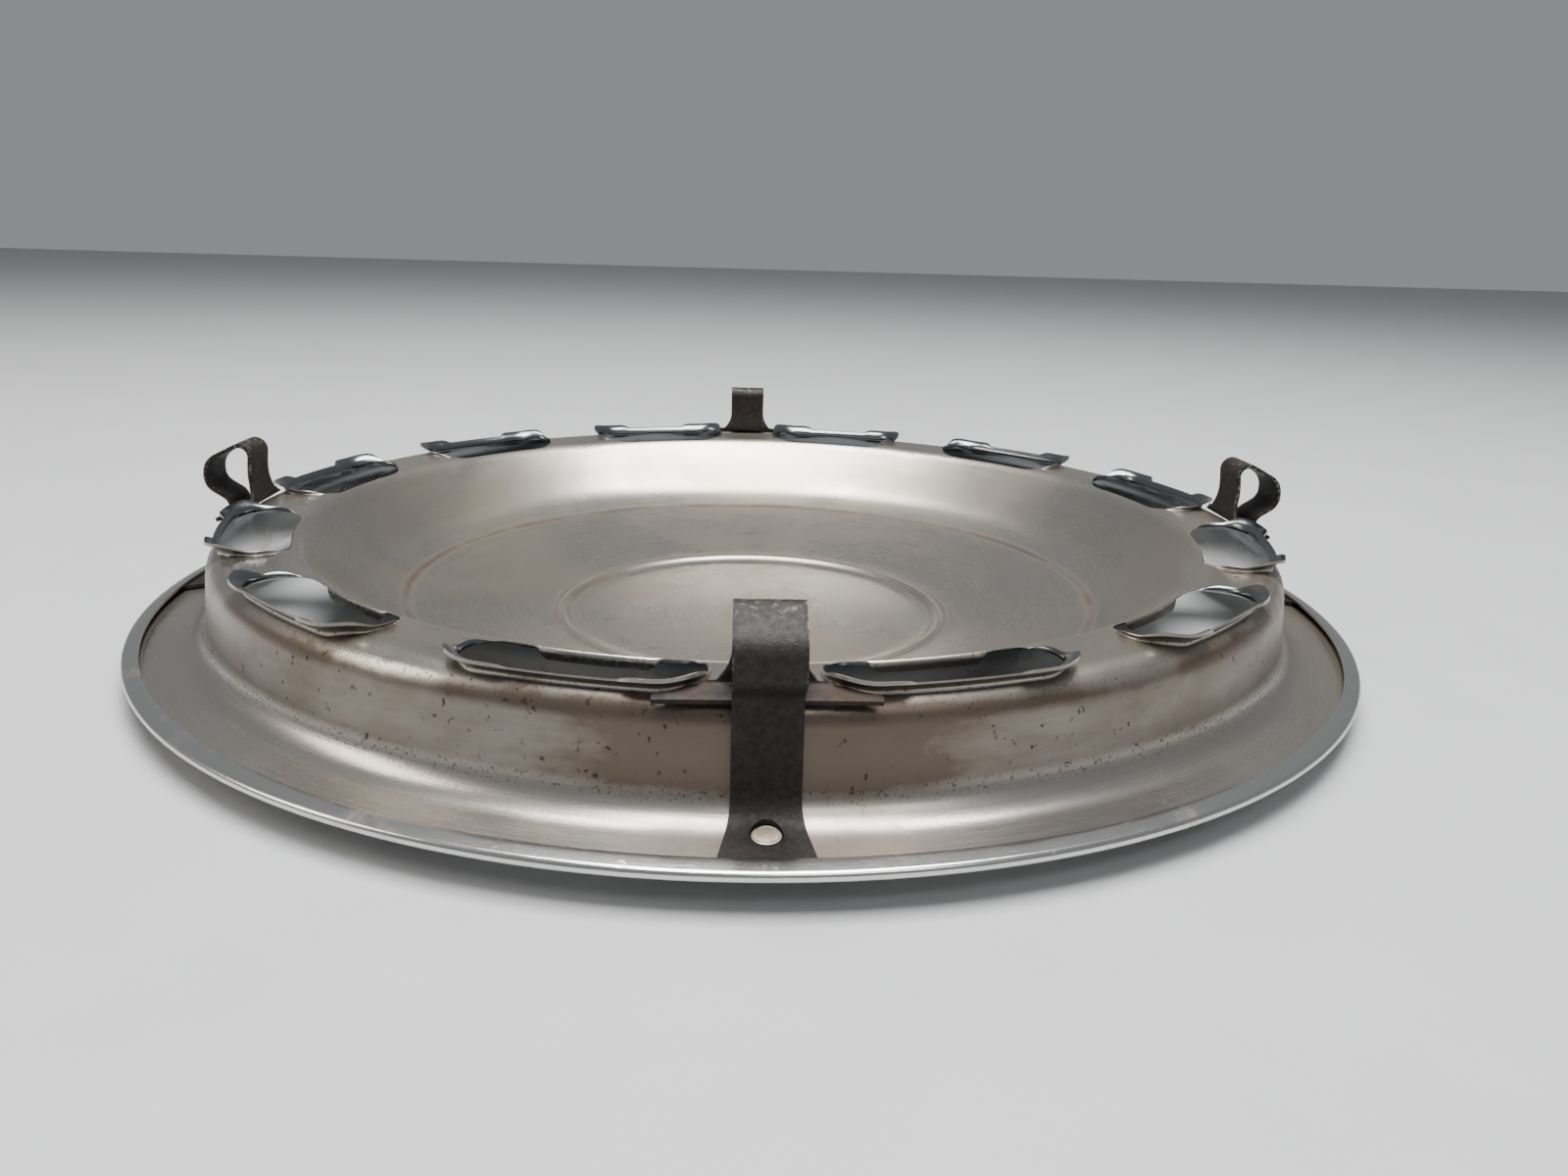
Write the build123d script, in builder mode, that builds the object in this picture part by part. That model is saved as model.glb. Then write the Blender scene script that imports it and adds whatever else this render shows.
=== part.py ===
"""Pressed steel wheel cover for a 14 inch car wheel, lying face down with its spring clips up.

Millimetres, +Z up along the wheel's axle, origin on the axle line at the flat centre of the
face, which is what the cover rests on. Heights in the profiles are measured from the middle of
the rolled rim and are lifted by RIM_Z, so that the lowest point of the face is at zero.
"""
from build123d import *
from math import cos, radians, sin
import os

# The cover: one disc pressed from sheet, its edge rolled back over itself.
COVER_R = 195.0
SHEET = 0.8
FACE_DROP = 7.4
RIM_Z = FACE_DROP + SHEET
FACE_FLAT_R = 60.0
CREASE_R = 115.5
CREASE_Z = 3.8
SLOPE_FOOT = (127.0, 8.4)
CREST_IN_R = 146.6
CREST_Z = 28.2
CREST_OUT_R = 170.2
WALL_FOOT = (172.7, 1.95)
FLANGE_FALL = 0.13
HEM_IN_R = 1.2
HEM_CENTRE_R = COVER_R - SHEET - HEM_IN_R
HEM_LIP_R = 189.7

# The ring of vent slots in the crest.
SLOT_COUNT = 12
SLOT_R = 157.0
SLOT_WIDTH = 21.0
SLOT_END_DEG = 6.75
SLOT_FIRST_DEG = 15.0
TAB_STEP_DEG = 4.4
TAB_WRAP_DEG = 55.0
LIP_WRAP_DEG = 60.0
DROP_FLANGE_DEG = 5.2

# The four spring clips, each bent from one strip.
CLIP_T = 1.2
CLIP_WIDTH = 15.0
FOOT_WIDTH = 21.0
FOOT_END_R = 190.2
FOOT_FLARE_R = 174.5
FOOT_RISE = 0.33
FOOT_GAP = 0.4
WING_SPAN = 48.0
WING_EDGE_R = 171.0
WING_CLEAR = 2.3
STUD_R = 3.0
STUD_HOLE_R = 3.5
STUD_AT_R = 180.2
STUD_HEIGHT = 1.7
STUD_SEAT = 0.15
STUD_ROUNDING = 0.3

CLIP_PLACES = {"front": 270.0, "right": 0.0, "back": 90.0, "left": 180.0}


def flange_z(radius):
    """Height of the flange's upper surface, which falls gently towards the rim."""
    return WALL_FOOT[1] - FLANGE_FALL * (radius - WALL_FOOT[0])


def lifted(points):
    """Profile points with their heights counted from the resting face."""
    return [(r, z + RIM_Z) for r, z in points]


def radial_plane(deg, origin=(0, 0, 0)):
    """Upright plane through origin, its x axis pointing outwards at the angle deg."""
    out = (cos(radians(deg)), sin(radians(deg)), 0)
    return Plane(origin=origin, x_dir=out, z_dir=(out[1], -out[0], 0))


# %% The cover's sheet: the inside surface is drawn, thickened downwards and spun
hem_centre_z = flange_z(HEM_CENTRE_R) + HEM_IN_R
dish_points = [
    (0, -FACE_DROP),
    (FACE_FLAT_R, -FACE_DROP),
    (CREASE_R, CREASE_Z),
    SLOPE_FOOT,
    (CREST_IN_R, CREST_Z),
    (CREST_OUT_R, CREST_Z),
    WALL_FOOT,
    (HEM_CENTRE_R, flange_z(HEM_CENTRE_R)),
]
DISH_BENDS = [20, 5, 22, 8, 7, 9]
hem_arc_points = [
    (HEM_CENTRE_R, flange_z(HEM_CENTRE_R)),
    (HEM_CENTRE_R + HEM_IN_R, hem_centre_z),
    (HEM_CENTRE_R, hem_centre_z + HEM_IN_R),
]
hem_lip_points = [
    (HEM_CENTRE_R, hem_centre_z + HEM_IN_R),
    (HEM_LIP_R, hem_centre_z + HEM_IN_R),
]

# The vent slots' edges: a lip stands up along the outer side and leans over the shoulder. It
# is cut back in the middle and reaches out as a tab at each end, over the clips' wings.
MID_LIP = [(167.0, 26.1), (167.7, 26.1), (168.4, 29.3), (169.5, 29.8), (169.2, 30.5), (167.7, 30.0)]
TAB_LIP = [(167.0, 26.1), (167.7, 26.1), (168.6, 30.4), (172.0, 30.6), (171.9, 31.4), (167.9, 31.2)]
END_LIP = [(167.0, 27.3), (167.8, 27.3), (168.1, 29.4), (167.3, 29.4)]
DROP_FLANGE = [(146.2, 24.4), (147.0, 24.4), (147.0, 27.2), (146.2, 26.4)]
slot_end = (SLOT_R * cos(radians(SLOT_END_DEG)), SLOT_R * sin(radians(SLOT_END_DEG)))


def swept_lip(section, start_deg, arc_deg, end_side=0):
    """Spin a lip section about the axle, or about the slot's own end when end_side is +1 or -1."""
    if end_side:
        centre = (slot_end[0], end_side * slot_end[1], 0)
        points = [(r - SLOT_R, z) for r, z in section]
    else:
        centre = (0, 0, 0)
        points = section
    with BuildSketch(radial_plane(start_deg, centre)) as section_face:
        with BuildLine():
            Polyline(*lifted(points), close=True)
        make_face()
    revolve(section_face.sketch, axis=Axis(centre, (0, 0, 1)), revolution_arc=arc_deg)


with BuildPart() as slot_edges:
    swept_lip(MID_LIP, -TAB_STEP_DEG, 2 * TAB_STEP_DEG)
    swept_lip(TAB_LIP, TAB_STEP_DEG, SLOT_END_DEG - TAB_STEP_DEG)
    swept_lip(TAB_LIP, -SLOT_END_DEG, SLOT_END_DEG - TAB_STEP_DEG)
    swept_lip(TAB_LIP, SLOT_END_DEG, TAB_WRAP_DEG, end_side=1)
    swept_lip(TAB_LIP, -SLOT_END_DEG - TAB_WRAP_DEG, TAB_WRAP_DEG, end_side=-1)
    swept_lip(END_LIP, SLOT_END_DEG + TAB_WRAP_DEG, LIP_WRAP_DEG, end_side=1)
    swept_lip(END_LIP, -SLOT_END_DEG - TAB_WRAP_DEG - LIP_WRAP_DEG, LIP_WRAP_DEG, end_side=-1)
    swept_lip(DROP_FLANGE, -DROP_FLANGE_DEG, 2 * DROP_FLANGE_DEG)

with BuildPart() as cover:
    with BuildSketch(Plane.XZ):
        with BuildLine():
            FilletPolyline(*lifted(dish_points), radius=DISH_BENDS)
            ThreePointArc(*lifted(hem_arc_points))
            Line(*lifted(hem_lip_points))
            offset(amount=SHEET, side=Side.RIGHT)
        make_face()
    revolve(axis=Axis.Z)
    slot_middle = CenterArc((0, 0), SLOT_R, -SLOT_END_DEG, 2 * SLOT_END_DEG, mode=Mode.PRIVATE)
    with BuildSketch(Plane.XY.offset(RIM_Z + SLOPE_FOOT[1])):
        with PolarLocations(0, SLOT_COUNT, start_angle=SLOT_FIRST_DEG):
            SlotArc(slot_middle, height=SLOT_WIDTH)
    extrude(amount=CREST_Z, mode=Mode.SUBTRACT)
    with PolarLocations(0, SLOT_COUNT, start_angle=SLOT_FIRST_DEG):
        add(slot_edges.part)


# %% One spring clip, standing on the +X side
foot_mid_z = FOOT_GAP + CLIP_T / 2
strap_points = [
    (FOOT_END_R, flange_z(FOOT_END_R) + foot_mid_z),
    (173.6, flange_z(173.6) + foot_mid_z),
    (172.7, 30.4),
    (180.2, 35.2),
    (179.8, 43.2),
    (164.6, 51.0),
    (166.0, 38.5),
    (164.6, 29.4),
    (WING_EDGE_R, 27.7),
]
STRAP_BENDS = [8, 4, 5, 6.5, 3.4, 20, 1.6]
wing_points = strap_points[-3:]
WING_BEND = STRAP_BENDS[-1]
FLARE_TOP_Z = 37.5
FLARE_MID = (8.5, 32.8)
FLARE_FOOT = (10.8, 30.1)
BEHIND_CLIP_R = 150.0
ACROSS_CLIP = 40.0
ABOVE_CLIP_Z = 60.0
WING_LEVEL_Z = 20.0
UNDER_FOOT_Z = -5.0
CUT_DEPTH = 12.0
FOOT_CUT_DEPTH = 22.0
FLARE_RUN_OUT = 6.0


def bend_strip(points, bends, width):
    """A strip CLIP_T thick and as wide as given, bent along the filleted path through points."""
    with BuildSketch(Plane.XZ) as strip_side:
        with BuildLine():
            FilletPolyline(*lifted(points), radius=bends)
        trace(line_width=CLIP_T)
    extrude(strip_side.sketch, amount=width / 2, both=True)


with BuildPart() as clip:
    bend_strip(wing_points, WING_BEND, WING_SPAN)
    # The leg widens into the wings through a hollow curve on each side.
    with BuildSketch(Plane.YZ.offset(BEHIND_CLIP_R)):
        for side in (1, -1):
            with BuildLine():
                flare = ThreePointArc(
                    (side * CLIP_WIDTH / 2, RIM_Z + FLARE_TOP_Z),
                    (side * FLARE_MID[0], RIM_Z + FLARE_MID[1]),
                    (side * FLARE_FOOT[0], RIM_Z + FLARE_FOOT[1]),
                )
                Polyline(
                    flare @ 1,
                    (side * WING_SPAN, RIM_Z + FLARE_FOOT[1]),
                    (side * WING_SPAN, RIM_Z + ABOVE_CLIP_Z),
                    (side * CLIP_WIDTH / 2, RIM_Z + ABOVE_CLIP_Z),
                    flare @ 0,
                )
            make_face()
    extrude(amount=ACROSS_CLIP, mode=Mode.SUBTRACT)
    # The wings are hollowed so that they pass round the ends of the slots beside the clip.
    clip_to_slot_end = SLOT_FIRST_DEG - SLOT_END_DEG
    with BuildSketch(Plane.XY.offset(RIM_Z + WING_LEVEL_Z)):
        with PolarLocations(SLOT_R, 2, start_angle=-clip_to_slot_end, angular_range=4 * clip_to_slot_end):
            Circle(SLOT_WIDTH / 2 + WING_CLEAR)
    extrude(amount=CUT_DEPTH, mode=Mode.SUBTRACT)
    # The strap: foot, wall, bulge, top and leg.
    bend_strip(strap_points, STRAP_BENDS, CLIP_WIDTH)
    # The foot is wider and its sides flare towards the rim.
    foot_top = tuple(a + (b - a) * FOOT_RISE for a, b in zip(strap_points[1], strap_points[2]))
    bend_strip([strap_points[0], strap_points[1], foot_top], STRAP_BENDS[0], FOOT_WIDTH)
    with BuildSketch(Plane.XY.offset(RIM_Z + UNDER_FOOT_Z)):
        for side in (1, -1):
            with BuildLine():
                Polyline(
                    (FOOT_FLARE_R - FLARE_RUN_OUT, side * CLIP_WIDTH / 2),
                    (FOOT_FLARE_R, side * CLIP_WIDTH / 2),
                    (FOOT_END_R + 1, side * FOOT_WIDTH / 2),
                    (FOOT_END_R + 1, side * FOOT_WIDTH),
                    (FOOT_FLARE_R - FLARE_RUN_OUT, side * FOOT_WIDTH),
                    close=True,
                )
            make_face()
    extrude(amount=FOOT_CUT_DEPTH, mode=Mode.SUBTRACT)
    with BuildSketch(Plane.XY.offset(RIM_Z + UNDER_FOOT_Z)):
        with Locations((STUD_AT_R, 0)):
            Circle(STUD_HOLE_R)
    extrude(amount=CUT_DEPTH, mode=Mode.SUBTRACT)

# %% The stud in each clip's hole, welded to the flange
stud_base = (STUD_AT_R, 0, RIM_Z + flange_z(STUD_AT_R) - STUD_SEAT)
with BuildPart() as stud:
    with BuildSketch(Plane(origin=stud_base, z_dir=(FLANGE_FALL, 0, 1))):
        Circle(STUD_R)
    extrude(amount=STUD_SEAT + STUD_HEIGHT)
    fillet(stud.edges().sort_by(Axis.Z)[-1], STUD_ROUNDING)

# %% Placing and writing the pieces
os.makedirs("parts", exist_ok=True)
cover.part.label = "cover"
export_step(cover.part, "parts/cover.step")

for place, deg in CLIP_PLACES.items():
    for name, pattern in (("clip", clip.part), ("stud", stud.part)):
        with BuildPart() as placed:
            with Locations(Rotation(0, 0, deg)):
                add(pattern)
        placed.part.label = f"{name}_{place}"
        export_step(placed.part, f"parts/{name}_{place}.step")

bulge_r = max(radius for radius, _ in strap_points[2:6]) + CLIP_T / 2
print("cover", cover.part.bounding_box().size)
print("across the clips", round(2 * bulge_r, 1), "height", round(clip.part.bounding_box().max.Z, 1))
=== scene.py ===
# %% [markdown]
# # The back of a pressed steel wheel cover
#
# A wheel cover is one thin disc of stainless sheet with a few strips of spring steel hooked on
# its back. Here it lies face down, so the back, the clips and the folded edge are what shows.
# Everything depends on two things: the smooth sweep of the sheet, because a satin metal shows
# every kink in it, and the marks of age on the metal.
#
# The CAD model is loaded as a fixed frame. Its nodes keep their places, and each piece made here
# takes the place of one of them and rides on its body.

# %% Load the frame
import bpy
from math import atan2, cos, degrees, hypot, pi, radians, sin, tan
from mathutils import Matrix, Vector


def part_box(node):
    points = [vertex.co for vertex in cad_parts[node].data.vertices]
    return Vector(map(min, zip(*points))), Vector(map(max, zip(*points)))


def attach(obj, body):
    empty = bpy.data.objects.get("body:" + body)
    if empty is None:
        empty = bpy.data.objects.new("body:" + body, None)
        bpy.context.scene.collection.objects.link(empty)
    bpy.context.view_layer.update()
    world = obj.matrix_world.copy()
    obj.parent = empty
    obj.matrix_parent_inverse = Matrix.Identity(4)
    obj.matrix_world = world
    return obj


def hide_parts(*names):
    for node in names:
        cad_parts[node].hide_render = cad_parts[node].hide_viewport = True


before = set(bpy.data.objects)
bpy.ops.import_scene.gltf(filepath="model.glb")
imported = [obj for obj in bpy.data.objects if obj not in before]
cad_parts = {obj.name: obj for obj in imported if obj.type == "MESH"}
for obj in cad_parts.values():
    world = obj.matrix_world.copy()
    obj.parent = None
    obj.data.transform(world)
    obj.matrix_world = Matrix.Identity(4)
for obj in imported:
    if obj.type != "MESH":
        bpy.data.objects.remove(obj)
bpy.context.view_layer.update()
MM = 0.001
RIM_Z = 8.2
COVER_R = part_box("cover")[1].x / MM

# %% [markdown]
# ## The sheet's leading sizes
#
# The shapes and the materials both need to know where things are: a stain follows a crease, and
# a speck of dirt stays off the polished face. So the places they share are named once, here.
# Those that end in MM are lengths in millimetres, and the shapes are drawn with them. The others
# are in metres, as the materials read them. Heights in metres are measured from the floor, and
# those in the drawing from the height of the rim.

# %% Name the places that shapes and materials share
SLOT_COUNT = 12
SHEET_MM = 0.8
FACE_CREASE_MM = 115.5
BEAD_MM = 65.4
HEM_LIP_MM = 189.7
STRAP_HALF_MM = 7.5

FACE_CREASE_R = FACE_CREASE_MM * MM
BEAD_R = BEAD_MM * MM
HEM_EDGE_R = HEM_LIP_MM * MM
STRAP_HALF = STRAP_HALF_MM * MM
SHOULDER_Z = (RIM_Z + 27.0) * MM
WALL_FOOT_Z = (RIM_Z + 2.0) * MM
SHOULDER_BEND = 7.0 * MM
CROWN_R = 163.8 * MM
CROWN_Z = (RIM_Z + 21.2) * MM
SLOTS_PER_RADIAN = SLOT_COUNT / (2 * pi)
print("slots", SLOT_COUNT, "crease at", FACE_CREASE_MM, "bead at", BEAD_MM)

# %% [markdown]
# ## The camera
#
# It stands low in front of the cover and a little above it, close enough for the near edge to
# swell and the far edge to shrink. A wide lens from close by does that, and a long lens from
# further off could not. The turn about the axle, the dip and the slight roll are applied as
# three plain rotations, so that each can be changed alone.

# %% Place the camera
LENS_MM = 27.0
CAMERA_PLACE = (-9.0, -395.1, 128.3)
CAMERA_TURN = 2.96
CAMERA_DIP = 16.8
CAMERA_ROLL = 1.70

camera_data = bpy.data.cameras.new("camera")
camera_data.lens = LENS_MM
camera_data.sensor_width = 36.0
camera_data.clip_start = 0.01
camera = bpy.data.objects.new("camera", camera_data)
bpy.context.scene.collection.objects.link(camera)
camera.matrix_world = (
    Matrix.Translation(Vector(CAMERA_PLACE) * MM)
    @ Matrix.Rotation(radians(-CAMERA_TURN), 4, "Z")
    @ Matrix.Rotation(radians(90 - CAMERA_DIP), 4, "X")
    @ Matrix.Rotation(radians(CAMERA_ROLL), 4, "Z")
)
bpy.context.scene.camera = camera
print("camera at", [round(v, 4) for v in camera.location])

# %% [markdown]
# ## Materials as written formulas
#
# A node tree for worn metal is mostly arithmetic: masks are multiplied, added and turned round.
# Drawn as nodes that is a tangle, and written as formulas it reads in one go. `Wire` wraps one
# socket and makes Math nodes when it is added to or multiplied. `Recipe` holds one material and
# makes every other kind of node through a single method.

# %% A wire, a recipe and the few shapes that masks are made from
class Wire:
    """One socket of a material, usable in Python arithmetic."""

    def __init__(self, recipe, socket):
        self.recipe = recipe
        self.socket = socket

    def maths(self, operation, *others):
        return self.recipe.node("ShaderNodeMath", {"operation": operation}, [self, *others])

    def __add__(self, other):
        return self.maths("ADD", other)

    def __radd__(self, other):
        return self.maths("ADD", other)

    def __sub__(self, other):
        return self.maths("SUBTRACT", other)

    def __rsub__(self, other):
        return self.recipe.node("ShaderNodeMath", {"operation": "SUBTRACT"}, [other, self])

    def __mul__(self, other):
        return self.maths("MULTIPLY", other)

    def __rmul__(self, other):
        return self.maths("MULTIPLY", other)

    def __truediv__(self, other):
        return self.maths("DIVIDE", other)


class Recipe:
    """A material whose Principled shader is fed by wires."""

    def __init__(self, name, **fixed):
        self.material = bpy.data.materials.new(name)
        self.material.use_nodes = True
        self.tree = self.material.node_tree
        self.shader = self.tree.nodes["Principled BSDF"]
        for socket, value in fixed.items():
            self.shader.inputs[socket.replace("_", " ")].default_value = value

    def node(self, kind, settings=None, inputs=(), output=0):
        """Add a node, set it up, fill its sockets by number or name, and return one output."""
        made = self.tree.nodes.new(kind)
        for key, value in (settings or {}).items():
            setattr(made, key, value)
        pairs = inputs.items() if isinstance(inputs, dict) else enumerate(inputs)
        for key, value in pairs:
            if isinstance(value, Wire):
                self.tree.links.new(value.socket, made.inputs[key])
            else:
                made.inputs[key].default_value = value
        return Wire(self, made.outputs[output])

    def feed(self, socket, wire):
        self.tree.links.new(wire.socket, self.shader.inputs[socket])

    def place(self):
        """The point on the object, in metres, as a vector."""
        return self.node("ShaderNodeTexCoord", output="Object")

    def numbers(self, vector):
        """A vector's three numbers."""
        return [self.node("ShaderNodeSeparateXYZ", inputs=[vector], output=i) for i in range(3)]

    def round_axle(self, vector):
        """A point's distance from the axle, its angle round it and its height."""
        x, y, z = self.numbers(vector)
        return (x * x + y * y).maths("SQRT"), y.maths("ARCTAN2", x), z

    def from_clip_line(self, vector):
        """How far a point is from the nearer of the two lines that join opposite clips."""
        x, y, z = self.numbers(vector)
        return x.maths("ABSOLUTE").maths("MINIMUM", y.maths("ABSOLUTE"))

    def vector(self, x, y, z):
        return self.node("ShaderNodeCombineXYZ", inputs=[x, y, z])

    def noise(self, vector, scale, detail=3.0, roughness=0.5, distortion=0.0):
        values = {"Vector": vector, "Scale": scale, "Detail": detail}
        values.update({"Roughness": roughness, "Distortion": distortion})
        return self.node("ShaderNodeTexNoise", inputs=values)

    def step(self, wire, low, high):
        """0 below low, 1 above high and smooth between; low may be the larger of the two."""
        made = {"From Min": low, "From Max": high, "Value": wire}
        return self.node("ShaderNodeMapRange", {"interpolation_type": "SMOOTHSTEP"}, made)

    def ridge(self, wire, centre, width):
        """1 where the wire is at centre, falling to 0 at width to either side."""
        return self.step((wire - centre).maths("ABSOLUTE"), width, 0.0)

    def mix(self, first, second, factor):
        return self.node("ShaderNodeMix", {"data_type": "RGBA"}, {0: factor, 6: first, 7: second}, 2)

    def bump(self, height, distance, strength=1.0, normal=None):
        values = {"Height": height, "Distance": distance, "Strength": strength}
        if normal:
            values["Normal"] = normal
        return self.node("ShaderNodeBump", inputs=values)


def colour(red, green, blue):
    return (red, green, blue, 1.0)


# %% [markdown]
# ## Stainless sheet, the back
#
# The back of the disc was never polished. It has the grey, silky finish of rolled and pressed
# sheet, with hair-fine lines round the axle from the die, a warm film of dried road dirt, brown
# marks that gather in the creases and on the wall below the shoulder, and scattered dark specks.
# The wall's brown is partly that stain and partly painted shade, for the dark surroundings the
# upright wall reflects. Painted shade also darkens the slots' lips, the shoulder under each lip
# and the flange turned down inside each slot. The grain is noise stretched along the circles:
# read with the radius and height many times finer than the angle. The stains are wide noises
# cut by masks that know where dirt stays, and the painted shade is cut by masks of its own.

# %% The back's satin, film, stains, specks and painted shade
def above_crest(steel, radius, z):
    """1 on the slots' lips, which stand above the domed crest, and 0 on the crest itself."""
    past_crown = (radius - CROWN_R).maths("MAXIMUM", 0.0)
    dome = (SHOULDER_BEND * SHOULDER_BEND - past_crown * past_crown).maths("MAXIMUM", 0.0)
    lift = z - dome.maths("SQRT") - CROWN_Z
    lip = steel.step(lift, 0.15 * MM, 0.9 * MM) * steel.step(radius, 148.0 * MM, 150.0 * MM)
    return lip * steel.step(z, SHOULDER_Z - 2.0 * MM, SHOULDER_Z - 1.2 * MM)


def sheet_back():
    steel = Recipe("satin_stainless_back")
    spot = steel.place()
    radius, angle, z = steel.round_axle(spot)

    cloud = steel.noise(spot, 9.0, detail=4.0, roughness=0.6, distortion=0.6)
    patch = steel.noise(spot, 42.0, detail=6.0, roughness=0.65, distortion=0.4)
    speckle = steel.noise(spot, 420.0, detail=2.0, roughness=0.6)
    spots = steel.noise(spot, 190.0, detail=4.0, roughness=0.65)
    peppered = steel.noise(spot, 1100.0, detail=1.0, roughness=0.5)
    grit = steel.noise(spot, 900.0, detail=1.0)
    around = steel.vector(angle * 0.35, radius * 9.0, z * 9.0)
    streak = steel.noise(around, 10.0, detail=5.0, roughness=0.7)
    drawn = steel.vector(angle * 0.10, radius * 40.0, z * 40.0)
    grain = steel.noise(drawn, 60.0, detail=3.0, roughness=0.75)

    # Where dirt stays: on the wall below the shoulder, along the creases and beside the clips.
    # The wall's darkening is partly painted shade.
    out = steel.step(radius, 167.0 * MM, 170.0 * MM)
    on_wall = steel.step(z, WALL_FOOT_Z + 3.0 * MM, WALL_FOOT_Z + 8.0 * MM)
    on_wall = on_wall * steel.step(z, SHOULDER_Z, SHOULDER_Z - 4.0 * MM) * out
    on_crest = steel.ridge(z, SHOULDER_Z, 6.0 * MM) * steel.step(radius, 139.0 * MM, 150.0 * MM)
    # Painted shade: the slots' lips are painted near black, and the narrow flange that is turned
    # down along each slot's inner side dark grey, where the slots lie in shade.
    lip_painted_shade = above_crest(steel, radius, z)
    drop_painted_shade = steel.step(z, 34.6 * MM, 34.0 * MM) * steel.step(radius, 145.2 * MM, 146.0 * MM)
    drop_painted_shade = drop_painted_shade * steel.step(radius, 153.0 * MM, 151.0 * MM)
    crease = steel.ridge(radius, FACE_CREASE_R, 3.2 * MM)
    bead = steel.ridge(radius, BEAD_R - 2.0 * MM, 2.2 * MM)
    bead = bead + steel.ridge(radius, BEAD_R + 2.2 * MM, 2.2 * MM)
    slope = steel.ridge(radius, 133.0 * MM, 12.0 * MM)
    beside = steel.step(steel.from_clip_line(spot), 60.0 * MM, 10.0 * MM)
    beside = beside * steel.step(radius, 150.0 * MM, 168.0 * MM)
    hem_line = steel.ridge(radius, HEM_EDGE_R - 0.3 * MM, 0.7 * MM)

    # One slot in twelve places: how far round from its middle, and whether that is below its lip,
    # where a painted shadow of the lip darkens the shoulder.
    turn = (angle * SLOTS_PER_RADIAN).maths("FRACT") - 0.5
    under_lip_painted_shadow = steel.step(turn.maths("ABSOLUTE"), 0.36, 0.29)
    under_lip_painted_shadow = under_lip_painted_shadow * steel.ridge(radius, 169.0 * MM, 3.6 * MM)
    under_lip_painted_shadow = under_lip_painted_shadow * steel.step(z, SHOULDER_Z - 6.0 * MM, SHOULDER_Z - 2.0 * MM)

    film = steel.step(cloud, 0.36, 0.66)
    drifts = steel.step(cloud * 0.45 + patch * 0.2 + streak * 0.35, 0.34, 0.66)
    # The wall's brown is partly a real stain and partly painted shade for the dark it reflects.
    wall_stain_and_shade = on_wall * (0.66 + drifts * 0.34)
    crest_stain = on_crest * steel.step(patch + beside * 0.12, 0.52, 0.72)
    crease_stain = (crease + bead * 0.85) * (0.60 + steel.step(streak, 0.36, 0.60) * 0.40)
    smears = steel.step(patch * 0.4 + streak * 0.4 + speckle * 0.25, 0.38, 0.66)
    clip_stain = beside * (0.60 + smears * 0.40)
    # The sum holds the real stains and also painted shade: the wall's share and the shadow under the lips.
    # Both are mixed towards the same dark brown below.
    stain_and_shade = wall_stain_and_shade + crest_stain * 0.55 + clip_stain * 0.60 + under_lip_painted_shadow * 0.55
    stain_and_shade = stain_and_shade + crease_stain * 0.95 + slope * film * 0.35 + hem_line * 0.6
    stain_and_shade = stain_and_shade.maths("MINIMUM", 1.0)
    speck_room = on_wall * 0.7 + on_crest * 0.9 + out * 0.25 + 0.05
    speck_room = speck_room * steel.step(patch, 0.40, 0.58)
    foot_line = steel.ridge(z, WALL_FOOT_Z + 5.0 * MM, 3.5 * MM) * out
    specks_and_lip_shade = steel.step(speckle, 0.64, 0.71) * speck_room + steel.step(spots, 0.66, 0.72) * on_crest
    specks_and_lip_shade = specks_and_lip_shade + steel.step(peppered, 0.60, 0.68) * (foot_line + on_crest * 0.6) * 0.8
    # Painted shade: the lips are added to the specks, so they take the specks' near black.
    specks_and_lip_shade = (specks_and_lip_shade + lip_painted_shade * 0.92).maths("MINIMUM", 1.0)

    clean = steel.mix(colour(0.50, 0.475, 0.440), colour(0.455, 0.405, 0.335), film)
    clean = steel.mix(clean, colour(0.62, 0.61, 0.585), steel.step(grain, 0.55, 0.80) * 0.45)
    stained_and_shaded = steel.mix(clean, colour(0.082, 0.056, 0.036), stain_and_shade * 0.90)
    finished = steel.mix(stained_and_shaded, colour(0.028, 0.018, 0.012), specks_and_lip_shade * 0.9)
    # Painted shade: the flange turned down beside the slots is painted dark grey.
    steel.feed("Base Color", steel.mix(finished, colour(0.085, 0.085, 0.085), drop_painted_shade * 0.75))
    steel.feed("Metallic", 1.0 - stain_and_shade * 0.15 - specks_and_lip_shade * 0.15)
    rough = 0.18 + grain * 0.10 + film * 0.06 + cloud * 0.05 + stain_and_shade * 0.12 + specks_and_lip_shade * 0.15
    steel.feed("Roughness", rough.maths("MINIMUM", 0.9))
    lines = steel.bump(grain, 0.05 * MM, 0.5)
    steel.feed("Normal", steel.bump(grit * 0.5 + patch, 0.10 * MM, 0.30, lines))
    return steel.material


sheet_back_finish = sheet_back()
print("material", sheet_back_finish.name)

# %% [markdown]
# ## Stainless sheet, the front
#
# The front of the sheet shows where it is folded back over itself: on the rim and on the top of
# the tabs beside the vents, and of course underneath. It was polished, so it is cleaner, cooler
# and smoother, with only light handling scratches. About the vents it is painted a dark slate
# grey, painted shade for the shadowed insides of the slots. It is a second finish on the same
# piece, and the sheared edge of the sheet is a third.

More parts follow.
